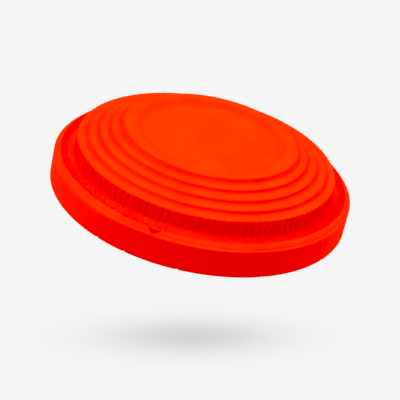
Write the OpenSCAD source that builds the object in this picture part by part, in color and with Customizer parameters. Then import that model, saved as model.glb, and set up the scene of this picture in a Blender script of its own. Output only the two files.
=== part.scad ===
// Clay target: a pressed disc of pitch and ground limestone, painted on its outside.
// Millimetres, +Z up. The origin is the centre of the base ring's flat underside.

/* [Overall] */
// Greatest diameter, across the skirt
overall_d = 110; // [109:0.5:111]
// Height from the base ring to the top ring
overall_h = 26; // [25.5:0.1:26.5]
// Height of the skirt wall, from the base ring to the rim's bevel
skirt_h = 10.35; // [10:0.05:10.8]

/* [Top] */
// Diameter of the dish at its edge
dish_d = 54.8; // [54:0.2:56]
// Diameter at which the dish's flat floor turns up into its wall
dish_floor_d = 48.8; // [47:0.2:49]
// Depth of the dish below the top ring
dish_depth = 1.7; // [1.2:0.1:2]
// Radius of the bend between the dish's floor and its wall
dish_bend_r = 5; // [3:0.5:6]
// Radius of the dish's rounded edge
dish_edge_r = 1; // [0.6:0.1:1.2]
// Outer diameter of the top ring
ring_d = 64; // [63:0.5:65]
// Radius of the top ring's rounded outer edge
ring_edge_r = 0.9; // [0.6:0.1:1]
// Drop from the top ring to the first tread
ring_drop = 1.85; // [1.7:0.05:2]

/* [Steps] */
// Number of treads between the top ring and the fluted band
tread_count = 4; // [4:1:4]
// Width of each tread but the last, which runs out to the fluted band
tread_w = 3.9; // [3.8:0.05:4]
// Drop from the lip of one tread to the lip of the next
step_drop = 1.85; // [1.8:0.05:1.9]
// Fall of each tread from its riser to its lip
tread_drop = 0.4; // [0.3:0.05:0.5]
// Lean of each riser, in degrees from upright
riser_lean = 28; // [24:1:30]
// Radius of each tread's lip
lip_r = 0.7; // [0.5:0.05:0.8]
// Radius of the cove at the foot of each riser
cove_r = 1.6; // [1.2:0.1:1.7]

/* [Fluted band] */
// Diameter of the band over the crests of the flutes
band_d = 95.5; // [95:0.1:96]
// Height at which the flutes end, at the top of the channel
band_foot_z = 12.45; // [12.3:0.05:12.6]
// Number of flutes round the band
flute_count = 114; // [60:2:120]
// Depth of each flute
flute_depth = 0.3; // [0.25:0.05:0.45]

/* [Channel and rim] */
// Diameter at which the channel between the band and the rim is deepest
channel_d = 100.6; // [100.2:0.2:101]
// Height at which the channel's two sides meet, below its rounded floor
channel_z = 11.05; // [10.9:0.05:11.2]
// Radius of the channel's floor
channel_r = 2.2; // [1.6:0.1:2.4]
// Diameter of the rim's crest
rim_d = 105.9; // [105.6:0.1:106.2]
// Height of the rim's crest, before its edge is rounded
rim_z = 12.35; // [12.2:0.05:12.5]
// Radius of the rim's crest
rim_r = 0.55; // [0.4:0.05:0.6]
// Distance of the fine groove in the rim's bevel from the skirt wall
groove_inset = 0.72; // [0.7:0.01:0.8]
// Width of the groove
groove_w = 0.4; // [0.3:0.05:0.45]
// Depth of the groove
groove_depth = 0.12; // [0.08:0.02:0.16]
// Radius of the edge between the rim's bevel and the skirt wall
skirt_r = 0.7; // [0.5:0.1:0.7]
// Radius of the base ring's outer edge
base_r = 0.9; // [0.6:0.1:1.2]

/* [Underside] */
// Width of the flat base ring
base_ring_w = 3.4; // [3:0.1:4]
// Thickness of the skirt wall above the base ring
skirt_t = 4; // [3.6:0.1:4.4]
// Thickness of the wall behind the fluted band
band_t = 3.8; // [3.4:0.1:4.2]
// Thickness of the dome and the dish floor
dome_t = 3.7; // [3.4:0.1:4]
// Radius of the rounded corners of the underside
inside_r = 1.2; // [0.8:0.1:1.5]

/* [Paint] */
// Thickness of the paint coat
paint_t = 0.15; // [0.12:0.01:0.2]
// Height above the base at which the paint ends
paint_edge_z = 0.5; // [0.4:0.1:0.8]

/* [Hidden] */

// Facets for each rounded corner of an outline
CORNER_STEPS = 4;
// Smoothness of the turned surfaces
TURN_FN = 96;
// Length by which a cutter runs past the material
PAST = 2;
// Gap between the turned band and the crests cut into it, so that no two faces coincide
crest_gap = 0.05;
// Distance by which the flute cutter reaches past the crests, over the channel
cutter_reach = 0.8;
// Shares of a flute's pitch at which its crest starts and ends, and its root starts and ends
crest_start = 0;
crest_end = 0.34;
root_start = 0.56;
root_end = 0.78;

// Distance of the boss's edge under the dish from the edge of the dish's floor
boss_inset = 1;
// Distances of the crown recess's edges from the dish's edge and from the top ring's outer edge
crown_in_inset = 3;
crown_out_inset = 2.4;
// Added thickness of the top ring, over that of the dome
crown_extra_t = 0.5;
// How far the tops of the walls behind the band and the skirt lean in, to leave the mould
band_draft = 0.2;
skirt_draft = 0.6;
// Distances down from the flutes' foot and from the skirt's top edge to the hollow's corners there
band_back_drop = 2.4;
skirt_back_drop = 3.2;

outer_r = overall_d / 2;
ring_r = ring_d / 2;
band_r = band_d / 2;
groove_r = outer_r - groove_inset;
dish_z = overall_h - dish_depth;

// Where lip i of the dome lies: 0 is the top ring's edge, the last is the fluted band's top edge
function lip_x(i) = i < tread_count ? ring_r + i * tread_w : band_r;
first_lip_z = overall_h - ring_drop - tread_drop;
function lip_z(i) = i == 0 ? overall_h : first_lip_z - (i - 1) * step_drop;
// Where the tread that ends in lip i starts, at the foot of its riser
function foot_z(i) = lip_z(i) + tread_drop;
function foot_x(i) = lip_x(i - 1) + (lip_z(i - 1) - foot_z(i)) * tan(riser_lean);

// Corners of the outside, from the axis to the base, as [radius, height, corner radius]
function dish_corners() = [
    [0, dish_z, 0],
    [dish_floor_d / 2, dish_z, dish_bend_r],
    [dish_d / 2, overall_h, dish_edge_r],
    [ring_r, overall_h, ring_edge_r]
];
function tread_corners(i) = [
    [foot_x(i), foot_z(i), cove_r],
    [lip_x(i), lip_z(i), i < tread_count ? lip_r : 0]
];
function step_corners() = [for (i = [1:tread_count]) each tread_corners(i)];
// Height of the rim's bevel at a radius
function bevel_z(x) = rim_z + (skirt_h - rim_z) * (x - rim_d / 2) / (outer_r - rim_d / 2);
function rim_corners() = [
    [band_r, band_foot_z, 0],
    [channel_d / 2, channel_z, channel_r],
    [rim_d / 2, rim_z, rim_r],
    [groove_r - groove_w / 2, bevel_z(groove_r - groove_w / 2), 0],
    [groove_r, bevel_z(groove_r) - groove_depth, 0],
    [groove_r + groove_w / 2, bevel_z(groove_r + groove_w / 2), 0],
    [outer_r, skirt_h, skirt_r]
];
outside = concat(dish_corners(), step_corners(), rim_corners(), [[outer_r, 0, base_r]]);

// Corners of the hollow, from the axis to the base. Its walls lean so that it leaves the mould.
boss_z = dish_z - dome_t;
recess_z = overall_h - dome_t - crown_extra_t;
base_inner_r = outer_r - base_r - base_ring_w;
hollow = [
    [0, boss_z, 0],
    [dish_floor_d / 2 - boss_inset, boss_z, 2 * inside_r],
    [dish_d / 2 - crown_in_inset, recess_z, inside_r],
    [ring_r - crown_out_inset, recess_z, inside_r],
    [band_r - band_t - band_draft, lip_z(tread_count) - dome_t, inside_r],
    [band_r - band_t, band_foot_z - band_back_drop, inside_r],
    [outer_r - skirt_t - skirt_draft, skirt_h - skirt_back_drop, inside_r],
    [base_inner_r, 0, 0]
];

// Geometry of an outline of corners
function xy(p) = [p[0], p[1]];
function unit(v) = v / norm(v);
function edge_dir(c, i) = unit(xy(c[i + 1]) - xy(c[i]));
// The side of an edge on which the material lies, to the right of its direction
function inward(d) = [d[1], -d[0]];
function turn(c, i) = cross(edge_dir(c, i - 1), edge_dir(c, i));

// Corner i moved inward by t, with its radius changed to suit
function inset_corner(c, i, t) =
    let (n1 = inward(edge_dir(c, i - 1)), n2 = inward(edge_dir(c, i)))
    let (p = xy(c[i]) + t * (n1 + n2) / (1 + n1 * n2))
    let (r = c[i][2] == 0 ? 0 : max(0.05, c[i][2] + sign(turn(c, i)) * t))
    [p[0], p[1], r];
// The whole outline moved inward by t: its first corner stays on the axis, its last at its height
function inset_outline(c, t) =
    let (last = len(c) - 1)
    concat(
        [[c[0][0], c[0][1] - t, 0]],
        [for (i = [1:last - 1]) inset_corner(c, i, t)],
        [[c[last][0] - t, c[last][1], c[last][2]]]
    );

// The points of one corner, rounded by its radius
function corner_points(c, i) =
    let (p = xy(c[i]), r = c[i][2])
    r == 0 ? [p] :
    let (d1 = edge_dir(c, i - 1), d2 = edge_dir(c, i))
    let (s = sign(cross(d1, d2)), angle = acos(d1 * d2))
    let (start = p - d1 * r * tan(angle / 2))
    let (centre = start - s * r * inward(d1))
    [for (k = [0:CORNER_STEPS])
        let (a = s * angle * k / CORNER_STEPS, v = start - centre)
        centre + [v[0] * cos(a) - v[1] * sin(a), v[0] * sin(a) + v[1] * cos(a)]];
function outline_points(c) =
    let (last = len(c) - 1)
    concat([xy(c[0])], [for (i = [1:last - 1]) each corner_points(c, i)], [xy(c[last])]);

// The outside with its base edge, closed along the axis and the base
function envelope_corners(t) = concat(inset_outline(outside, t), [[0, 0, 0]]);

band_h = lip_z(tread_count) - band_foot_z;

// Points of the fluted band: each flute has a flat crest and a flat root
function band_points(t) =
    let (pitch = 360 / flute_count, crest = band_r - crest_gap - t, root = band_r - flute_depth - t)
    let (corners = [[crest_start, crest], [crest_end, crest], [root_start, root], [root_end, root]])
    [for (i = [0:flute_count - 1], k = corners)
        let (a = (i + k[0]) * pitch)
        [k[1] * cos(a), k[1] * sin(a)]];

// Removes what lies outside the flutes, from their foot up past the last lip
module flute_cutter(t) {
    translate([0, 0, band_foot_z - t])
        difference() {
            cylinder(r = band_r + cutter_reach, h = band_h + PAST, $fn = TURN_FN);
            translate([0, 0, -PAST])
                linear_extrude(height = band_h + 3 * PAST)
                    polygon(band_points(t));
        }
}

// The solid inside the outside surface, with that surface moved inward by t
module envelope(t) {
    difference() {
        rotate_extrude($fn = TURN_FN)
            polygon(outline_points(envelope_corners(t)));
        flute_cutter(t);
    }
}

// The pressed body: dome, dish, steps, flutes, channel, rim, skirt and base ring in one piece
module moulded_body() {
    color("dimgray")
        difference() {
            envelope(paint_t);
            rotate_extrude($fn = TURN_FN)
                polygon(concat(outline_points(hollow), [[base_inner_r, -PAST], [0, -PAST]]));
        }
}

// The paint on the outside of the body, which ends just above the base ring
module paint_coat() {
    color("orangered")
        difference() {
            envelope(0);
            envelope(paint_t);
            translate([0, 0, -PAST])
                cylinder(r = outer_r + PAST, h = paint_edge_z + PAST, $fn = TURN_FN);
        }
}

moulded_body();
paint_coat();
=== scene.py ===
"""A clay target: a pressed, stepped dome of pitch and limestone with a coat of fluorescent paint."""

import math
import random

import bpy
from mathutils import Matrix, Vector, noise


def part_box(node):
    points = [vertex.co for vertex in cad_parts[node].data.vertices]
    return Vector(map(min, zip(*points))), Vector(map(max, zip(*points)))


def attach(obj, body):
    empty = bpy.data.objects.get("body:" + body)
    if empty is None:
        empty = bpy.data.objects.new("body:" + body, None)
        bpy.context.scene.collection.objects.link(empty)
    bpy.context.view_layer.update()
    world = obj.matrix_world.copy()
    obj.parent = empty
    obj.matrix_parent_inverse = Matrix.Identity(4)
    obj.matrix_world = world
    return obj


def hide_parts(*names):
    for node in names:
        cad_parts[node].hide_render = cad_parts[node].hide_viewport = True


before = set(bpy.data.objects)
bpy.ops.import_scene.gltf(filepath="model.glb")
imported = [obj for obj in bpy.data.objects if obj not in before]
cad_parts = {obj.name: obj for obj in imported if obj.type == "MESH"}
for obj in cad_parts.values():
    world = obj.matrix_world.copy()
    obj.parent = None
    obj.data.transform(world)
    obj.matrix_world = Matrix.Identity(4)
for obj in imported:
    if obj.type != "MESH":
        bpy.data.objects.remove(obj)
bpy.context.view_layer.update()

MM = 0.001

# ---------------------------------------------------------------- dimensions, in millimetres
# In a name, R is a radius, Z and H are heights, W is a width and T a thickness. EDGE_R is the radius
# of a rounded edge
paint_lo, paint_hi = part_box("paint_coat")
OUTER_R = paint_hi.x / MM
TOP_Z = paint_hi.z / MM
PAINT_EDGE_Z = paint_lo.z / MM

# Dish, top ring, treads and risers. RISER_LEAN is in degrees from upright
DISH_R, DISH_FLOOR_R, DISH_DEPTH, DISH_BEND_R, DISH_EDGE_R = 27.4, 24.4, 1.7, 5.0, 1.0
RING_R, RING_EDGE_R, RING_DROP = 32.0, 0.9, 1.85
TREADS, TREAD_W, STEP_DROP, TREAD_DROP = 4, 3.9, 1.85, 0.4
RISER_LEAN, LIP_EDGE_R, COVE_R = 28, 0.7, 1.6
# Fluted band, channel, rim with the groove in its bevel, and skirt
BAND_R, BAND_FOOT_Z, FOOT_EDGE_R = 47.75, 12.45, 0.6
FLUTES, FLUTE_DEPTH = 114, 0.45
CHANNEL_R, CHANNEL_Z, CHANNEL_EDGE_R = 50.3, 11.05, 2.2
RIM_R, RIM_Z, RIM_EDGE_R = 52.95, 12.35, 0.55
GROOVE_R, GROOVE_W, GROOVE_DEPTH = 54.28, 0.2, 0.16
SKIRT_H, SKIRT_EDGE_R, BASE_EDGE_R = 10.35, 0.55, 0.9
# Base ring and the walls round the hollow
BASE_RING_W, SKIRT_T, BAND_T, DOME_T, INSIDE_R, BASE_IN_EDGE_R = 3.4, 4.0, 3.8, 3.7, 1.2, 0.25
# How far the hollow's corners lie from those of the outside, and how far its walls lean in
BOSS_INSET, CROWN_IN_INSET, CROWN_OUT_INSET, CROWN_EXTRA_T = 1, 3, 2.4, 0.5
BAND_DRAFT, SKIRT_DRAFT, BAND_BACK_DROP, SKIRT_BACK_DROP = 0.2, 0.6, 2.4, 3.2
# Thickness of the paint on the dome and the skirt's wall, and from the channel to the rim's bevel,
# which has the dent and pits. Under the rim's crest it is CREST_TIMES as thick as there
PAINT_T, RIM_PAINT_T, CREST_TIMES = 0.16, 0.6, 1.3
# Gap between the bottoms of the flutes and the paint's inner face, on top of its thickness
FLUTE_GAP = 0.1
# The clay's gap behind the paint, and how far it stays inside the paint's outside at the base
CLAY_GAP, BASE_LAP = 0.06, 0.03
# Height above the paint's edge at which the clay comes out from behind the paint, and the heights
# of the clay's rings on the base edge
CLAY_OUT_H = 0.35
CLAY_RING_HEIGHTS = (0.45, 0.32, 0.2, 0.1, 0.04)

# Columns of the mesh round the axis: a flute has FINE / FLUTES of them
COARSE, FINE = 4 * FLUTES, 8 * FLUTES
# Columns of a ring, as (inside this radius, columns), so that no face turns into a sliver
COLUMN_ROWS = [
    (2.2, COARSE // 8), (6.5, COARSE // 4), (BAND_R - 3, COARSE // 2), (BAND_R - 1.6, COARSE),
    (math.inf, FINE),
]
# Longest step along an outline, as (inside this radius, step): finest on the channel and the rim
OUTSIDE_STEPS = [
    (20, 2.4), (BAND_R - 1.2, 1.0), (BAND_R + 0.1, 1.1), (RIM_R, 0.36), (OUTER_R - 0.01, 0.22),
    (math.inf, 2.0),
]
BACKING_STEPS = [(20, 3.0), (BAND_R, 1.5), (OUTER_R - 1, 0.6), (math.inf, 1.6)]
UNDER_STEPS = [(math.inf, 1.1)]
# Radius and heights from which the paint's inner face has COARSE and FINE columns near its edge
INNER_EDGE_R, INNER_COARSE_Z, INNER_FINE_Z = OUTER_R - 0.6, 3, 1
# Radii outside which the clay has COARSE columns, and below a height FINE ones
CLAY_COARSE_R, CLAY_FINE_R, CLAY_FINE_Z = BAND_R - 0.5, OUTER_R - 3.2, 1.2

# ---------------------------------------------------------------- small helpers


def smooth(a, b, x):
    """0 up to a, 1 from b, and an even turn between them."""
    t = min(1.0, max(0.0, (x - a) / (b - a)))
    return t * t * (3 - 2 * t)


def mix(a, b, t):
    return a + (b - a) * t


def hump(x, width):
    """1 where x is 0, and falling off to both sides over a width."""
    return math.exp(-(x / width) ** 2)


def turn_from(angle, centre):
    """Degrees from centre to angle, between -180 and 180."""
    return (angle - centre + 180) % 360 - 180


def polar(r, angle):
    """(x, y) at a radius and an angle in degrees."""
    return r * math.cos(math.radians(angle)), r * math.sin(math.radians(angle))


def bumps(x, y, z, size, seed):
    """Smooth noise, between about -1 and 1, with bumps of a size."""
    return noise.noise(Vector((x / size + seed, y / size - seed, z / size + 2 * seed)))


def by_radius(rows, radius):
    """The value of the first of the (limit, value) rows whose limit is past radius."""
    return next(value for limit, value in rows if radius < limit)


def columns(radius):
    return by_radius(COLUMN_ROWS, radius)


def column_angles(n):
    return [360 * j / n for j in range(n)]


def round_corner(before, corner, after, radius, steps):
    """Points of a fillet at corner."""
    p = Vector(corner)
    d1, d2 = (p - Vector(before)).normalized(), (Vector(after) - p).normalized()
    angle = d1.angle(d2)
    if radius <= 0 or angle < 1e-4:
        return [tuple(p)]
    side = 1 if d1.x * d2.y - d1.y * d2.x > 0 else -1
    start = p - d1 * radius * math.tan(angle / 2)
    centre = start + Vector((-d1.y, d1.x)) * radius * side
    arm = start - centre
    points = []
    for k in range(steps + 1):
        a = side * angle * k / steps
        points.append((
            centre.x + arm.x * math.cos(a) - arm.y * math.sin(a),
            centre.y + arm.x * math.sin(a) + arm.y * math.cos(a),
        ))
    return points


def outline(corners, step_rows):
    """(radius, height) points along corners of (radius, height, corner radius, fillet steps)."""
    points = [corners[0][:2]]
    for before, corner, after in zip(corners, corners[1:], corners[2:]):
        points += round_corner(before[:2], corner[:2], after[:2], corner[2], corner[3])
    points.append(corners[-1][:2])
    filled = [points[0]]
    for p in points[1:]:
        q = filled[-1]
        step = by_radius(step_rows, max(p[0], q[0]))
        n = max(1, math.ceil(math.dist(p, q) / step))
        filled += [(mix(q[0], p[0], k / n), mix(q[1], p[1], k / n)) for k in range(1, n + 1)]
    return filled


def make_mesh(name, rings, closed_ends):
    """A mesh of rings of points. Neighbouring rings have as many points, or twice or half as many."""
    verts, faces, starts = [], [], []
    for ring in rings:
        starts.append(len(verts))
        verts += ring
    for (a, ring_a), (b, ring_b) in zip(zip(starts, rings), zip(starts[1:], rings[1:])):
        na, nb = len(ring_a), len(ring_b)
        if na == nb:
            faces += [(a + j, b + j, b + (j + 1) % nb, a + (j + 1) % na) for j in range(na)]
        elif nb == 2 * na:
            faces += [(a + j, b + 2 * j, b + 2 * j + 1, b + (2 * j + 2) % nb, a + (j + 1) % na)
                      for j in range(na)]
        elif na == 2 * nb:
            faces += [(a + 2 * j, b + j, b + (j + 1) % nb, a + (2 * j + 2) % na, a + 2 * j + 1)
                      for j in range(nb)]
        else:
            raise ValueError(f"{name}: a ring of {na} points can't join one of {nb}")
    for end in closed_ends:
        start, n = starts[end], len(rings[end])
        pole = len(verts)
        verts.append(tuple(sum(v[i] for v in rings[end]) / n for i in range(3)))
        for j in range(n):
            edge = (start + j, start + (j + 1) % n)
            faces.append((pole, *edge) if end == 0 else (pole, *reversed(edge)))
    mesh = bpy.data.meshes.new(name)
    mesh.from_pydata([(x * MM, y * MM, z * MM) for x, y, z in verts], [], faces)
    mesh.validate()
    mesh.update()
    mesh.shade_smooth()
    obj = bpy.data.objects.new(name, mesh)
    bpy.context.scene.collection.objects.link(obj)
    return obj


# ---------------------------------------------------------------- corners of the outlines
dish_z = TOP_Z - DISH_DEPTH
first_lip_z = TOP_Z - RING_DROP - TREAD_DROP


def lip_r(i):
    """Radius of lip i: lip 0 is the top ring's edge, and the last is the fluted band's top edge."""
    return RING_R + i * TREAD_W if i < TREADS else BAND_R


def lip_z(i):
    return TOP_Z if i == 0 else first_lip_z - (i - 1) * STEP_DROP


def foot_z(i):
    """Height of the foot of riser i, where the tread that ends in lip i starts."""
    return lip_z(i) + TREAD_DROP


def foot_r(i):
    return lip_r(i - 1) + (lip_z(i - 1) - foot_z(i)) * math.tan(math.radians(RISER_LEAN))


def outside_corners():
    """Corners of the outside, from the axis to the base. The last only ends the base's edge."""
    corners = [
        (0, dish_z, 0, 1),
        (DISH_FLOOR_R, dish_z, DISH_BEND_R, 8),
        (DISH_R, TOP_Z, DISH_EDGE_R, 5),
        (RING_R, TOP_Z, RING_EDGE_R, 6),
    ]
    for i in range(1, TREADS + 1):
        corners += [(foot_r(i), foot_z(i), COVE_R, 6), (lip_r(i), lip_z(i), LIP_EDGE_R, 4)]
    return corners + [
        (BAND_R, BAND_FOOT_Z, FOOT_EDGE_R, 3),
        (CHANNEL_R, CHANNEL_Z, CHANNEL_EDGE_R, 5),
        (RIM_R, RIM_Z, RIM_EDGE_R, 5),
        (OUTER_R, SKIRT_H, SKIRT_EDGE_R, 4),
        (OUTER_R, 0, BASE_EDGE_R, 6),
        (OUTER_R - BASE_EDGE_R - 1, 0, 0, 1),
    ]


def backing_corners(t, rim_t):
    """Corners of a plain surface t inside the outside, behind the flutes, and rim_t below the rim."""
    corners = [
        (0, dish_z - t, 0, 1),
        (DISH_FLOOR_R, dish_z - t, DISH_BEND_R, 4),
        (DISH_R, TOP_Z - t, DISH_EDGE_R, 3),
        (RING_R - t, TOP_Z - t, RING_EDGE_R, 3),
    ]
    band_r = BAND_R - FLUTE_DEPTH - FLUTE_GAP - t
    for i in range(1, TREADS + 1):
        lip = lip_r(i) - t if i < TREADS else band_r
        corners += [(foot_r(i) - t, foot_z(i) - t, COVE_R, 3), (lip, lip_z(i) - t, LIP_EDGE_R / 2, 2)]
    return corners + [
        (band_r, BAND_FOOT_Z - rim_t, FOOT_EDGE_R, 2),
        (CHANNEL_R, CHANNEL_Z - rim_t, CHANNEL_EDGE_R, 4),
        (RIM_R, RIM_Z - CREST_TIMES * rim_t, RIM_EDGE_R, 4),
        (OUTER_R - t, SKIRT_H - rim_t, SKIRT_EDGE_R, 3),
    ]


def hollow_corners():
    """Corners of the underside, from the base to the axis."""
    boss_z, recess_z = dish_z - DOME_T, TOP_Z - DOME_T - CROWN_EXTRA_T
    base_in_r = OUTER_R - BASE_EDGE_R - BASE_RING_W
    return [
        (base_in_r, 0, BASE_IN_EDGE_R, 3),
        (OUTER_R - SKIRT_T - SKIRT_DRAFT, SKIRT_H - SKIRT_BACK_DROP, INSIDE_R, 5),
        (BAND_R - BAND_T, BAND_FOOT_Z - BAND_BACK_DROP, INSIDE_R, 5),
        (BAND_R - BAND_T - BAND_DRAFT, lip_z(TREADS) - DOME_T, INSIDE_R, 5),
        (RING_R - CROWN_OUT_INSET, recess_z, INSIDE_R, 5),
        (DISH_R - CROWN_IN_INSET, recess_z, INSIDE_R, 5),
        (DISH_FLOOR_R - BOSS_INSET, boss_z, 2 * INSIDE_R, 5),
        (0, boss_z, 0, 1),
    ]


def base_edge_r(z):
    """Radius of the rounded base edge at a height."""
    return OUTER_R - BASE_EDGE_R + math.sqrt(BASE_EDGE_R**2 - (BASE_EDGE_R - z) ** 2)


# ---------------------------------------------------------------- flutes
# Ranges of each flute's own shift, in pitches, of its share of the full depth, and of its widening
FLUTE_SHIFTS, FLUTE_SHARES, FLUTE_WIDENINGS = (-0.05, 0.05), (0.8, 1.12), (-0.04, 0.05)
# Where a flute's flank starts and ends, as shares of the way from its crest's middle to its root's
FLANK = (0.26, 0.62)
# Radii between which the flutes start on the last tread, and between which they end in the channel,
# and the radii outside which there are none
FLUTES_START, FLUTES_END = (BAND_R - 0.8, BAND_R - 0.1), (BAND_R + 0.05, BAND_R + 1.1)
FLUTED = (BAND_R - 1.2, BAND_R + 1.6)
# Heights between which the flutes get shallower towards the last lip, and their share at the lip
FLUTES_FADE, SHARE_AT_LIP = (lip_z(TREADS) - 2.2, lip_z(TREADS) - 0.4), 0.4
# A flute also lifts the surface by a share of its depth: one share on the tread, which ends between
# these radii, and one near the band's foot, which ends between these heights
TREAD_LIFT, TREAD_END = 0.14, (BAND_R - 0.3, BAND_R - 0.05)
FOOT_LIFT, FOOT_END = 0.65, (BAND_FOOT_Z, BAND_FOOT_Z + 4)

flute_random = random.Random(11)
flutes = [
    [flute_random.uniform(*span) for span in (FLUTE_SHIFTS, FLUTE_SHARES, FLUTE_WIDENINGS)]
    for _ in range(FLUTES)
]


def flute_cut(angle):
    """Depth of the flutes at an angle in degrees."""
    t = (angle % 360) / 360 * FLUTES
    i = int(t) % FLUTES
    shift, share, widening = flutes[i]
    from_crest = 1 - abs(2 * (t - int(t) + shift) - 1)
    return FLUTE_DEPTH * share * smooth(FLANK[0] - widening, FLANK[1] - widening, from_crest)


def flute_weight(r, z):
    """Share of their depth that the flutes have at a point of the outline."""
    if z > BAND_FOOT_Z + 0.01:
        return smooth(*FLUTES_START, r) * mix(1, SHARE_AT_LIP, smooth(*FLUTES_FADE, z))
    return 1 - smooth(*FLUTES_END, r)


def add_flutes(r, z, angle):
    """(r, z) of the outline, moved by the flutes."""
    if not FLUTED[0] < r < FLUTED[1]:
        return r, z
    cut = flute_cut(angle) * flute_weight(r, z)
    on_tread = 1 - smooth(*TREAD_END, r)
    near_foot = 1 - smooth(*FOOT_END, z)
    return r - cut, z + cut * max(TREAD_LIFT * on_tread, FOOT_LIFT * near_foot)


# ---------------------------------------------------------------- marks
# Angles are in degrees from +X, the rest in millimetres. A pair is where a change starts and ends

# Corners of the dent in the rim's bevel, as (angle, radius), its depth, where its sides slope,
# inwards from its outline, and how far round from its first corner it reaches at most
DENT = [(-105.8, 53.1), (-99.4, 53.1), (-103.2, 54.6)]
DENT_DEPTH, DENT_SLOPE, DENT_REACH = 0.5, (-0.05, 0.35), 6
# Pits in the bevel, as (angle, radius, size, depth)
PITS = [
    (-88.2, 53.4, 0.35, 0.22), (-90.1, 53.25, 0.35, 0.14), (-107.4, 53.2, 0.35, 0.16),
    (-112, 53.1, 0.4, 0.2), (-118.6, 53.3, 0.35, 0.16), (-123.5, 53.1, 0.45, 0.2),
    (-131, 53.25, 0.4, 0.18), (-138, 53.1, 0.4, 0.2), (-96.5, 53.2, 0.35, 0.12),
    (-71, 53.3, 0.3, 0.1), (-64, 53.5, 0.3, 0.1), (-148, 53.2, 0.4, 0.16),
    (-57.5, 53.6, 0.3, 0.1), (40, 53.4, 0.4, 0.14), (118, 53.3, 0.45, 0.16),
    (166, 53.5, 0.4, 0.14),
]
# Chips in the base edge, as (angle, width, depth), the heights between which they end, and the
# shares of their depth that go in and up
NICKS = [
    (-124.3, 0.5, 0.34), (-112.2, 0.45, 0.3), (-91.8, 0.5, 0.28), (-150.0, 0.4, 0.2),
    (-60.0, 0.4, 0.18), (-30.0, 0.5, 0.22), (12.0, 0.6, 0.3), (47.0, 0.5, 0.22),
    (95.0, 0.7, 0.34), (141.0, 0.5, 0.25), (171.0, 0.4, 0.2),
]
NICKS_END, NICK_IN, NICK_UP = (0.2, 1.1), 0.8, 0.75
# How sharply a pit, a chip and the groove fall off from their middles
PIT_FALL, NICK_FALL, GROOVE_FALL = 1.4, 1.5, 1.6
# Distance from its middle, in sizes or widths, past which a pit or a chip has no depth left
MARK_REACH = 3
# Share of a mark's depth that goes down, and inward, on the rim's bevel, and where the bevel starts
BEVEL_SHARE, BEVEL_START_R = 0.7, RIM_R - 0.5
# Radii and heights between which the channel and the rim have their lumps and marks
RIM_MARKED_R, RIM_MARKED_Z = (BAND_R, OUTER_R - 0.3), (SKIRT_H - 2, BAND_FOOT_Z + 1)
# The rough side of the channel: its middle, and the angles from there between which it ends
ROUGH_MIDDLE, ROUGH_END = -128, (30, 44)
# Height of the lumps there and on the rest of the turn, their highest top as a share of it, and the
# radii between which they start and end
ROUGH_H, PLAIN_H, LUMP_TOP = 0.34, 0.06, 0.5
LUMPS_START, LUMPS_END = (BAND_R - 0.1, BAND_R + 0.7), (RIM_R, RIM_R + 0.9)
# The clear side of the groove: its middle, and the angles from there between which it ends, and the
# share of the groove's depth on the other side
CLEAR_MIDDLE, CLEAR_END, FILLED_SHARE = -12, (80, 120), 0.25
# Wear of the base edge: its depth, and the heights between which it ends
BASE_WEAR, BASE_WEAR_END = 0.05, (0.4, 1.6)
# Radii between which the chips and the wear start, and the radius and height that bound them
BASE_MARKS_START, BASE_MARKED_R, BASE_MARKED_Z = (OUTER_R - 2.2, OUTER_R - 0.6), OUTER_R - 5, 2.2
# How uneven the pressed surface is, on the dome, on the rim and skirt, and underneath
DOME_UNEVEN, RIM_UNEVEN, UNDER_UNEVEN, UNDER_GRAIN = 0.02, 0.025, 0.06, 0.03


def along_bevel(r):
    """Distance down the rim's bevel at a radius."""
    return (r - RIM_R) / BEVEL_SHARE


def dent_depth(angle, r):
    """Depth of the three-cornered dent in the rim's bevel."""
    x, y = math.radians(turn_from(angle, DENT[0][0])) * r, along_bevel(r)
    if abs(x) > DENT_REACH:
        return 0.0
    corners = [(math.radians(a - DENT[0][0]) * q, along_bevel(q)) for a, q in DENT]
    inside = min(
        ((bx - ax) * (y - ay) - (by - ay) * (x - ax)) / math.hypot(bx - ax, by - ay)
        for (ax, ay), (bx, by) in zip(corners, corners[1:] + corners[:1])
    )
    return DENT_DEPTH * smooth(*DENT_SLOPE, inside)


def pit_depth(angle, r):
    """Depth of the pits in the rim's bevel."""
    total = 0.0
    for a, pit_r, size, depth in PITS:
        d = math.hypot(math.radians(turn_from(angle, a)) * r, along_bevel(r) - along_bevel(pit_r))
        if d < MARK_REACH * size:
            total += depth * math.exp(-(d / size * PIT_FALL) ** 2)
    return total


def nick_depth(angle, z):
    """Depth of the chips in the base edge."""
    total = 0.0
    for a, width, depth in NICKS:
        d = math.radians(turn_from(angle, a)) * OUTER_R
        if abs(d) < MARK_REACH * width:
            total += depth * math.exp(-(d / width) ** 2 * NICK_FALL)
    return total * (1 - smooth(*NICKS_END, z))


def rough_side(angle):
    """1 where the channel is rough with lumps and bare specks, and 0 on the rest of the turn."""
    return 1 - smooth(*ROUGH_END, abs(turn_from(angle, ROUGH_MIDDLE)))


def lump_height(angle, r):
    """Height of the lumps in the channel and on the rim's crest."""
    across = smooth(*LUMPS_START, r) * (1 - smooth(*LUMPS_END, r))
    return across * mix(PLAIN_H, ROUGH_H, rough_side(angle))


def groove_depth(angle, r):
    """Depth of the groove in the rim's bevel, which paint mostly fills on one side."""
    share = mix(FILLED_SHARE, 1.0, 1 - smooth(*CLEAR_END, abs(turn_from(angle, CLEAR_MIDDLE))))
    return GROOVE_DEPTH * share * math.exp(-((r - GROOVE_R) / GROOVE_W * GROOVE_FALL) ** 2)


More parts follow.
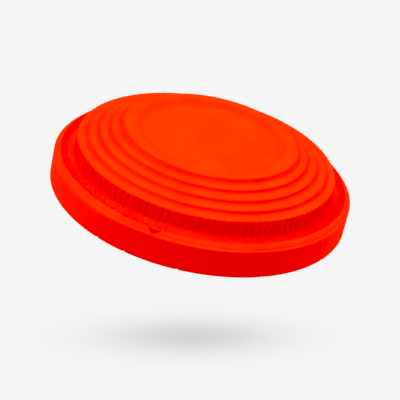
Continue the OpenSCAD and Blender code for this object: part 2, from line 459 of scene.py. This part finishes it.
def add_rim_marks(r, z, angle):
    """(r, z) of the outline, moved by the channel's lumps and the marks in the rim's bevel."""
    if not (RIM_MARKED_R[0] < r < RIM_MARKED_R[1] and RIM_MARKED_Z[0] < z < RIM_MARKED_Z[1]):
        return r, z
    x, y = polar(r, angle)
    lump = bumps(x, y, 0, size=0.9, seed=3) + 0.6 * bumps(x, y, 0, size=0.45, seed=5)
    z += lump_height(angle, r) * min(LUMP_TOP, lump)
    if r > BEVEL_START_R:
        uneven = 1 + 0.5 * bumps(x, y, 0, size=0.6, seed=7)
        depth = dent_depth(angle, r) * uneven + pit_depth(angle, r)
        depth += groove_depth(angle, r)
        z -= BEVEL_SHARE * depth
        r -= BEVEL_SHARE * depth
    return r, z


def add_base_marks(r, z, angle):
    """(r, z) of the outline, moved by the chips and the wear of the base edge."""
    if z >= BASE_MARKED_Z or r <= BASE_MARKED_R:
        return r, z
    nick = nick_depth(angle, z)
    marking = abs(BASE_WEAR * bumps(*polar(r, angle), z, size=1.1, seed=9))
    marking *= 1 - smooth(*BASE_WEAR_END, z)
    on_edge = smooth(*BASE_MARKS_START, r)
    return r - (NICK_IN * nick + marking) * on_edge, z + (NICK_UP * nick + marking) * on_edge


def outside_point(r, z, angle, marked=True):
    """The point over (r, z) of an outline, with flutes and the marks of the rim if it is marked."""
    if marked:
        r, z = add_flutes(r, z, angle)
        r, z = add_rim_marks(r, z, angle)
    r, z = add_base_marks(r, z, angle)
    if r < BAND_R:
        z += DOME_UNEVEN * bumps(*polar(r, angle), z, size=2.6, seed=13) - DOME_UNEVEN
    else:
        r += RIM_UNEVEN * bumps(*polar(r, angle), z, size=2.2, seed=15) - RIM_UNEVEN
    return *polar(r, angle), max(0.0, z)


def under_point(r, z, angle):
    """The point of the underside over (r, z): pressed, a little uneven."""
    x, y = polar(r, angle)
    uneven = UNDER_UNEVEN * bumps(x, y, z, size=3.2, seed=21)
    grain = UNDER_GRAIN * bumps(x, y, z, size=0.9, seed=23)
    return x, y, max(0.0, z + (uneven + grain))


# ---------------------------------------------------------------- the two pieces
# Share of painted shade in a whole pit, share of the paint that is off in a bare speck, and the depth of
# a whole pit
PIT_SHADE, SPECK_WEAR, WHOLE_PIT = 0.6, 0.3, 0.25
# The height above which the rim's dent and pits get painted shade, the radius outside which the base
# edge is, and the radii between which there are specks
RIM_SHADED_Z, BASE_WORN_R, SPECKED_R = SKIRT_H - 1, OUTER_R - 2, (BAND_R, RIM_R + 0.6)
# Values of the noise between which a speck goes from none to whole
SPECK_NOISE = (0.15, 0.5)
# Shares of the painted shade PAINT_RECESS_SHADE at the top of a riser, at the top of the band and on the
# channel's outer slope. It is full in the coves at the sides, and a power of the cosine takes it off from
# there
RISER_SHARE, BAND_TOP_SHARE, SLOPE_SHARE, SIDE_POWER = 0.6, 0.55, 0.4, 6
# Its width on a riser and in a cove, and how far outside the riser's foot the cove's middle lies
RISER_W, COVE_W, COVE_OUT = 0.4, 0.45, 0.1
# Height above which the treads and risers are
STEPS_Z = lip_z(TREADS) - 0.5
# Radii between which the band's foot goes over to the channel's outer slope, and between which the
# channel ends
SLOPE_START, CHANNEL_END = (BAND_R, BAND_R + 0.8), (RIM_R - 0.8, RIM_R + 0.2)
# Radii between which the skirt's wall starts, and heights between which it ends
WALL_START, WALL_TOP = (OUTER_R - 0.3, OUTER_R - 0.1), (SKIRT_H - 0.6, SKIRT_H)
# Height up to which the underside is the flat of the base ring
FLAT_Z = 0.01


def wear_and_shade(angle, r, z):
    """From 0 to 1: painted shade in the dent and pits, and paint rubbed off at the chips and bare specks.
    """
    on_rim = r > BEVEL_START_R and z > RIM_SHADED_Z
    # The dent and the pits get painted shade
    dent = dent_depth(angle, r) / DENT_DEPTH if on_rim else 0
    pit = min(1.0, pit_depth(angle, r) / WHOLE_PIT) if on_rim else 0
    nick = nick_depth(angle, z) if r > BASE_WORN_R else 0
    specks = 0
    if SPECKED_R[0] < r < SPECKED_R[1] and z < BAND_FOOT_Z:
        spot = bumps(*polar(r, angle), 0, size=0.65, seed=25)
        specks = SPECK_WEAR * rough_side(angle) * smooth(*SPECK_NOISE, spot)
    return min(1.0, dent + PIT_SHADE * pit + nick + specks)


def recess(angle, r, z):
    """How much painted shade darkens a point of the risers, the band or the channel, from 0 to 1."""
    if z > STEPS_Z:
        # Painted shade, strongest in the coves at the two sides and falling off towards the front and
        # back
        side = math.cos(math.radians(angle)) ** SIDE_POWER
        return max(RISER_SHARE * hump(r - lip_r(i - 1), RISER_W)
                   + side * hump(r - foot_r(i) - COVE_OUT, COVE_W) for i in range(1, TREADS + 1))
    if z > BAND_FOOT_Z:
        return mix(1.0, BAND_TOP_SHARE, smooth(BAND_FOOT_Z, lip_z(TREADS), z))
    slope = mix(1.0, SLOPE_SHARE * (1 - rough_side(angle)), smooth(*SLOPE_START, r))
    return slope * (1 - smooth(*CHANNEL_END, r))


def upright(r, z):
    """1 on the skirt's wall and 0 on the rest."""
    return smooth(*WALL_START, r) * (1 - smooth(*WALL_TOP, z))


def inner_columns(r, z):
    """Columns of the paint's inner face: few, but as many as the outside has at the paint's edge."""
    if r > INNER_EDGE_R and z < INNER_COARSE_Z:
        return FINE if z < INNER_FINE_Z else COARSE
    return min(COARSE // 2, columns(r))


def make_paint():
    """The coat of paint: its outside, the edge above the base ring, and a plainer inner face."""
    outer = [p for p in outline(outside_corners(), OUTSIDE_STEPS) if p[1] > PAINT_EDGE_Z or p[0] < BAND_R]
    outer.append((base_edge_r(PAINT_EDGE_Z), PAINT_EDGE_Z))
    inner_corners = backing_corners(PAINT_T, RIM_PAINT_T) + [(OUTER_R - PAINT_T, PAINT_EDGE_Z, 0, 1)]
    inner = outline(inner_corners, BACKING_STEPS)
    rings, marking, recessed, wall = [], [], [], []
    for r, z in outer[1:]:
        angles = column_angles(columns(r))
        rings.append([outside_point(r, z, a) for a in angles])
        marking += [wear_and_shade(a, r, z) for a in angles]
        recessed += [recess(a, r, z) for a in angles]
        wall += [upright(r, z)] * len(angles)
    for r, z in reversed(inner[1:]):
        angles = column_angles(inner_columns(r, z))
        rings.append([outside_point(r, z, a, marked=False) for a in angles])
    obj = make_mesh("paint_skin", rings, (0, -1))
    for name, values in (("wear_and_shade", marking), ("recess", recessed), ("wall", wall)):
        attribute = obj.data.attributes.new(name, "FLOAT", "POINT")
        unmarked = [0.0] * (len(obj.data.vertices) - len(values))
        attribute.data.foreach_set("value", values + unmarked)
    return obj


def clay_columns(r, z):
    """Columns of the clay: most at the base edge, which shows, and few under the dome."""
    if z < CLAY_FINE_Z and r > CLAY_FINE_R:
        return FINE
    return COARSE if r > CLAY_COARSE_R else min(COARSE // 2, columns(r))


def make_clay():
    """The pressed body: backs the paint on the outside, and shows at the base ring and underneath."""
    back_t = PAINT_T + CLAY_GAP
    path = backing_corners(back_t, RIM_PAINT_T + CLAY_GAP)
    path.append((OUTER_R - back_t, PAINT_EDGE_Z + CLAY_OUT_H, 0, 1))
    outer = outline(path, BACKING_STEPS)
    outer += [(base_edge_r(z) - BASE_LAP, z) for z in CLAY_RING_HEIGHTS]
    under = outline([(OUTER_R - BASE_EDGE_R - BASE_LAP, 0, 0, 1), *hollow_corners()], UNDER_STEPS)
    flat = [p for p in under if p[1] < FLAT_Z]
    hollow = under[len(flat):-1]
    rings = [[outside_point(r, z, a, marked=False) for a in column_angles(clay_columns(r, z))]
             for r, z in outer[1:] + flat]
    rings += [[under_point(r, z, a) for a in column_angles(clay_columns(r, z))] for r, z in hollow]
    return make_mesh("clay_body", rings, (0, -1))


# ---------------------------------------------------------------- materials


class Nodes:
    """Adds nodes to a material or world, and sets or links their inputs."""

    def __init__(self, owner):
        owner.use_nodes = True
        self.tree = owner.node_tree
        self.tree.nodes.clear()

    def add(self, kind, inputs=None, **settings):
        node = self.tree.nodes.new(kind)
        for name, value in settings.items():
            setattr(node, name, value)
        for key, value in (inputs or {}).items():
            if isinstance(value, bpy.types.NodeSocket):
                self.tree.links.new(value, node.inputs[key])
            else:
                node.inputs[key].default_value = value
        return node

    def noise(self, where, scale, detail, roughness=0.55):
        node = self.add("ShaderNodeTexNoise",
                        {"Vector": where, "Scale": scale, "Detail": detail, "Roughness": roughness})
        return node.outputs["Fac"]

    def point_value(self, name):
        """The value that make_paint gave each point of the mesh."""
        return self.add("ShaderNodeAttribute", attribute_name=name).outputs["Fac"]

    def span(self, value, low, high, to_low=0.0, to_high=1.0):
        """value from low..high to to_low..to_high, held at the ends."""
        node = self.add("ShaderNodeMapRange", {
            "Value": value, "From Min": low, "From Max": high, "To Min": to_low, "To Max": to_high})
        return node.outputs["Result"]

    def mix(self, share, a, b):
        node = self.add("ShaderNodeMix", data_type="RGBA")
        for socket, value in ((node.inputs[0], share), (node.inputs[6], a), (node.inputs[7], b)):
            if isinstance(value, bpy.types.NodeSocket):
                self.tree.links.new(value, socket)
            else:
                socket.default_value = value
        return node.outputs[2]

    def math(self, operation, a, b=0.0):
        node = self.add("ShaderNodeMath", {0: a, 1: b}, operation=operation)
        return node.outputs[0]

    def bump(self, height, distance, strength, normal=None):
        inputs = {"Height": height, "Distance": distance, "Strength": strength}
        if normal is not None:
            inputs["Normal"] = normal
        return self.add("ShaderNodeBump", inputs).outputs["Normal"]


# Base colours, linear
PAINT_THIN = (0.94, 0.0685, 0.004, 1)
PAINT_THICK = (0.98, 0.0795, 0.006, 1)
# Painted shade for the coves, the risers, the band and the channel
PAINT_RECESS_SHADE = (0.84, 0.0585, 0.003, 1)
PAINT_WALL = (1.0, 0.0615, 0.003, 1)
# Rubbed-off paint, and also painted shade in the dent and the pits
PAINT_WORN_AND_SHADED = (0.62, 0.024, 0.004, 1)
CLAY_DARK = (0.040, 0.036, 0.034, 1)
CLAY_PALE = (0.078, 0.072, 0.066, 1)
CLAY_CHALK = (0.17, 0.16, 0.145, 1)
# Shares of PAINT_WALL on the skirt's wall, and of PAINT_WORN_AND_SHADED in pores, where rubbed off, as
# painted shade in the dent and pits, and in the speck
WALL_SHARE, PORE_SHARE, WEAR_AND_SHADE_SHARE, SPECK_SHARE = 0.75, 0.35, 0.8, 0.9
# A dark speck on the skirt's wall: its angle from +X, and its place and radius in metres
SPECK_TURN = math.radians(-47.7)
SPECK = (OUTER_R * MM * math.cos(SPECK_TURN), OUTER_R * MM * math.sin(SPECK_TURN), 0.0058)
SPECK_R = 0.0004
# Overspray on the clay, in metres: the radii between which it starts, and how ragged its edge is
SPRAY_START, SPRAY_RAGGED = ((OUTER_R - 1.9) * MM, (OUTER_R - 1.1) * MM), 0.0035


def paint_material():
    """Fluorescent matte paint over a pressed, grainy surface, with shade painted into its recesses, dent
    and pits.
    """
    material = bpy.data.materials.new("fluorescent_paint")
    nodes = Nodes(material)
    where = nodes.add("ShaderNodeTexCoord").outputs["Object"]
    patches = nodes.span(nodes.noise(where, scale=70, detail=3), 0.35, 0.65)
    colour = nodes.mix(patches, PAINT_THIN, PAINT_THICK)
    # Painted shade in the coves, on the risers, on the band and in the channel
    colour = nodes.mix(nodes.point_value("recess"), colour, PAINT_RECESS_SHADE)
    wall = nodes.math("MULTIPLY", nodes.point_value("wall"), WALL_SHARE)
    colour = nodes.mix(wall, colour, PAINT_WALL)
    pore_noise = nodes.noise(where, scale=2400, detail=3, roughness=0.6)
    pores = nodes.span(pore_noise, 0.62, 0.74, 0, PORE_SHARE)
    # Paint rubbed off at the chips and specks, and painted shade in the dent and pits
    marking = nodes.span(nodes.point_value("wear_and_shade"), 0.1, 1, 0, WEAR_AND_SHADE_SHARE)
    distance = nodes.add("ShaderNodeVectorMath", {0: where, 1: SPECK}, operation="DISTANCE")
    speck = nodes.span(distance.outputs["Value"], 0.3 * SPECK_R, SPECK_R, SPECK_SHARE, 0)
    dirt_and_pit_shade = nodes.math("MAXIMUM", nodes.math("MAXIMUM", pores, marking), speck)
    colour = nodes.mix(dirt_and_pit_shade, colour, PAINT_WORN_AND_SHADED)
    roughness = nodes.span(nodes.noise(where, scale=900, detail=4), 0.3, 0.7, 0.72, 0.88)
    lumps = nodes.bump(nodes.noise(where, scale=330, detail=3), distance=0.00015, strength=0.4)
    grain_noise = nodes.noise(where, scale=1700, detail=5, roughness=0.62)
    grain = nodes.bump(grain_noise, distance=0.00009, strength=0.4, normal=lumps)
    shader = nodes.add("ShaderNodeBsdfPrincipled", {
        "Base Color": colour, "Roughness": roughness, "Normal": grain, "Specular IOR Level": 0.05})
    nodes.add("ShaderNodeOutputMaterial", {"Surface": shader.outputs["BSDF"]})
    return material


def clay_material():
    """Pressed pitch and ground limestone, with overspray round the base edge."""
    material = bpy.data.materials.new("pressed_pitch_and_limestone")
    nodes = Nodes(material)
    where = nodes.add("ShaderNodeTexCoord").outputs["Object"]
    patches = nodes.span(nodes.noise(where, scale=160, detail=4), 0.35, 0.68)
    colour = nodes.mix(patches, CLAY_DARK, CLAY_PALE)
    chalk = nodes.span(nodes.noise(where, scale=1500, detail=4, roughness=0.7), 0.6, 0.72, 0, 0.8)
    colour = nodes.mix(chalk, colour, CLAY_CHALK)
    place = nodes.add("ShaderNodeSeparateXYZ", {"Vector": where})
    x_squared = nodes.math("POWER", place.outputs["X"], 2.0)
    y_squared = nodes.math("POWER", place.outputs["Y"], 2.0)
    radius = nodes.math("POWER", nodes.math("ADD", x_squared, y_squared), 0.5)
    edge_noise = nodes.math("SUBTRACT", nodes.noise(where, scale=420, detail=4), 0.5)
    ragged = nodes.math("MULTIPLY", edge_noise, SPRAY_RAGGED)
    spray = nodes.span(nodes.math("ADD", radius, ragged), *SPRAY_START)
    colour = nodes.mix(spray, colour, PAINT_THIN)
    roughness = nodes.span(nodes.noise(where, scale=700, detail=4), 0.3, 0.7, 0.6, 0.9)
    lumps = nodes.bump(nodes.noise(where, scale=260, detail=4), distance=0.0003, strength=0.5)
    grain_noise = nodes.noise(where, scale=1900, detail=5, roughness=0.65)
    grain = nodes.bump(grain_noise, distance=0.0001, strength=0.6, normal=lumps)
    shader = nodes.add("ShaderNodeBsdfPrincipled", {
        "Base Color": colour, "Roughness": roughness, "Normal": grain, "Specular IOR Level": 0.35})
    nodes.add("ShaderNodeOutputMaterial", {"Surface": shader.outputs["BSDF"]})
    return material


paint = make_paint()
paint.data.materials.append(paint_material())
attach(paint, "root")
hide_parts("paint_coat")

clay = make_clay()
clay.data.materials.append(clay_material())
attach(clay, "root")
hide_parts("moulded_body")

# ---------------------------------------------------------------- floor, light and camera
# Height and side of the floor, in metres
FLOOR_Z, FLOOR_SIDE = -0.060, 8.0
# How bright the floor and the sky look, and how bright a glow the floor gives off
PALE, FLOOR_LIGHT = 0.9188, 0.83
# The soft shadow on the floor: its middle and half-lengths in metres, its turn in degrees, and how
# much of the light it takes away in its middle
SHADOW_CENTRE = (0.0097, -0.0018)
SHADOW_LONG, SHADOW_SHORT, SHADOW_TURN = 0.0246, 0.00785, 23.3
SHADOW_DARKEST = 0.2585
# The view's black level, which takes the last green and blue out of the paint's shaded parts
BLACK_LEVEL = 0.0657
# Width of the camera's sensor, in millimetres
SENSOR_W = 36


def make_floor():
    """A pale level floor with a small soft shadow under the target, which hangs above it."""
    half = FLOOR_SIDE / 2
    corners = [(-half, -half, 0), (half, -half, 0), (half, half, 0), (-half, half, 0)]
    mesh = bpy.data.meshes.new("floor")
    mesh.from_pydata(corners, [], [(0, 1, 2, 3)])
    floor = bpy.data.objects.new("floor", mesh)
    floor.location.z = FLOOR_Z
    bpy.context.scene.collection.objects.link(floor)
    material = bpy.data.materials.new("pale_floor")
    nodes = Nodes(material)
    where = nodes.add("ShaderNodeTexCoord").outputs["Object"]
    centred = nodes.add("ShaderNodeVectorMath", {0: where, 1: (*SHADOW_CENTRE, 0)}, operation="SUBTRACT")
    turned = nodes.add("ShaderNodeVectorRotate", {
        "Vector": centred.outputs[0], "Angle": math.radians(-SHADOW_TURN)}, rotation_type="Z_AXIS")
    scaled = nodes.add("ShaderNodeVectorMath", {
        0: turned.outputs[0], 1: (1 / SHADOW_LONG, 1 / SHADOW_SHORT, 0)}, operation="MULTIPLY")
    length = nodes.add("ShaderNodeVectorMath", {0: scaled.outputs[0]}, operation="LENGTH")
    distance = length.outputs["Value"]
    squared = nodes.math("MULTIPLY", distance, distance)
    fall = nodes.math("POWER", math.e, nodes.math("MULTIPLY", squared, -0.5))
    level = nodes.math("SUBTRACT", 1.0, nodes.math("MULTIPLY", fall, SHADOW_DARKEST))
    seen = nodes.add("ShaderNodeLightPath").outputs["Is Camera Ray"]
    strength = nodes.math("MULTIPLY", level, nodes.span(seen, 0, 1, FLOOR_LIGHT, PALE))
    glow = nodes.add("ShaderNodeEmission", {"Strength": strength})
    nodes.add("ShaderNodeOutputMaterial", {"Surface": glow.outputs[0]})
    mesh.materials.append(material)


def make_world():
    """A sky as pale as the floor where it is seen. It lights nothing."""
    world = bpy.data.worlds.new("studio")
    bpy.context.scene.world = world
    nodes = Nodes(world)
    seen = nodes.add("ShaderNodeLightPath").outputs["Is Camera Ray"]
    strength = nodes.math("MULTIPLY", seen, PALE)
    back = nodes.add("ShaderNodeBackground", {"Color": (1, 1, 1, 1), "Strength": strength})
    nodes.add("ShaderNodeOutputWorld", {"Surface": back.outputs[0]})


def make_lamp(name, azimuth, lean, level, softness):
    """A soft light that leans from overhead by lean degrees towards azimuth degrees from +X.

    It makes a white surface that faces it as bright as level, and is softness degrees wide.
    """
    data = bpy.data.lights.new(name, "SUN")
    data.energy = level * math.pi
    data.angle = math.radians(softness)
    lamp = bpy.data.objects.new(name, data)
    a, t = math.radians(azimuth), math.radians(lean)
    towards = Vector((math.cos(a) * math.sin(t), math.sin(a) * math.sin(t), math.cos(t)))
    lamp.rotation_mode = "QUATERNION"
    lamp.rotation_quaternion = towards.to_track_quat("Z", "Y")
    bpy.context.scene.collection.objects.link(lamp)


def make_camera(elevation, roll, distance, lens, shift):
    """A camera that looks at the frame's origin from the front, up by elevation and turned by roll."""
    e, p = math.radians(elevation), math.radians(roll)
    ahead = Vector((0, math.cos(e), -math.sin(e)))
    side, up = Vector((1, 0, 0)), Vector((0, math.sin(e), math.cos(e)))
    across = side * math.cos(p) + up * math.sin(p)
    upward = up * math.cos(p) - side * math.sin(p)
    data = bpy.data.cameras.new("camera")
    data.lens, data.sensor_width = lens, SENSOR_W
    data.shift_x, data.shift_y = shift
    camera = bpy.data.objects.new("camera", data)
    turn = Matrix((across, upward, -ahead)).transposed().to_4x4()
    camera.matrix_world = Matrix.Translation(-ahead * distance) @ turn
    bpy.context.scene.collection.objects.link(camera)
    bpy.context.scene.camera = camera


make_floor()
make_world()
make_lamp("back", azimuth=90, lean=43, level=0.43, softness=45)
make_lamp("left_top", azimuth=180, lean=30, level=0.354, softness=36)
make_lamp("left_front", azimuth=207, lean=56, level=0.58, softness=36)
make_lamp("right_front", azimuth=333, lean=56, level=0.49, softness=36)
make_lamp("right_back", azimuth=30, lean=54, level=0.3, softness=36)
make_camera(elevation=28.543, roll=12.439, distance=0.5690, lens=138.83, shift=(0.0052, -0.01065))

view = bpy.context.scene.view_settings
view.view_transform = "Standard"
view.use_curve_mapping = True
view.curve_mapping.black_level = (BLACK_LEVEL, BLACK_LEVEL, BLACK_LEVEL)
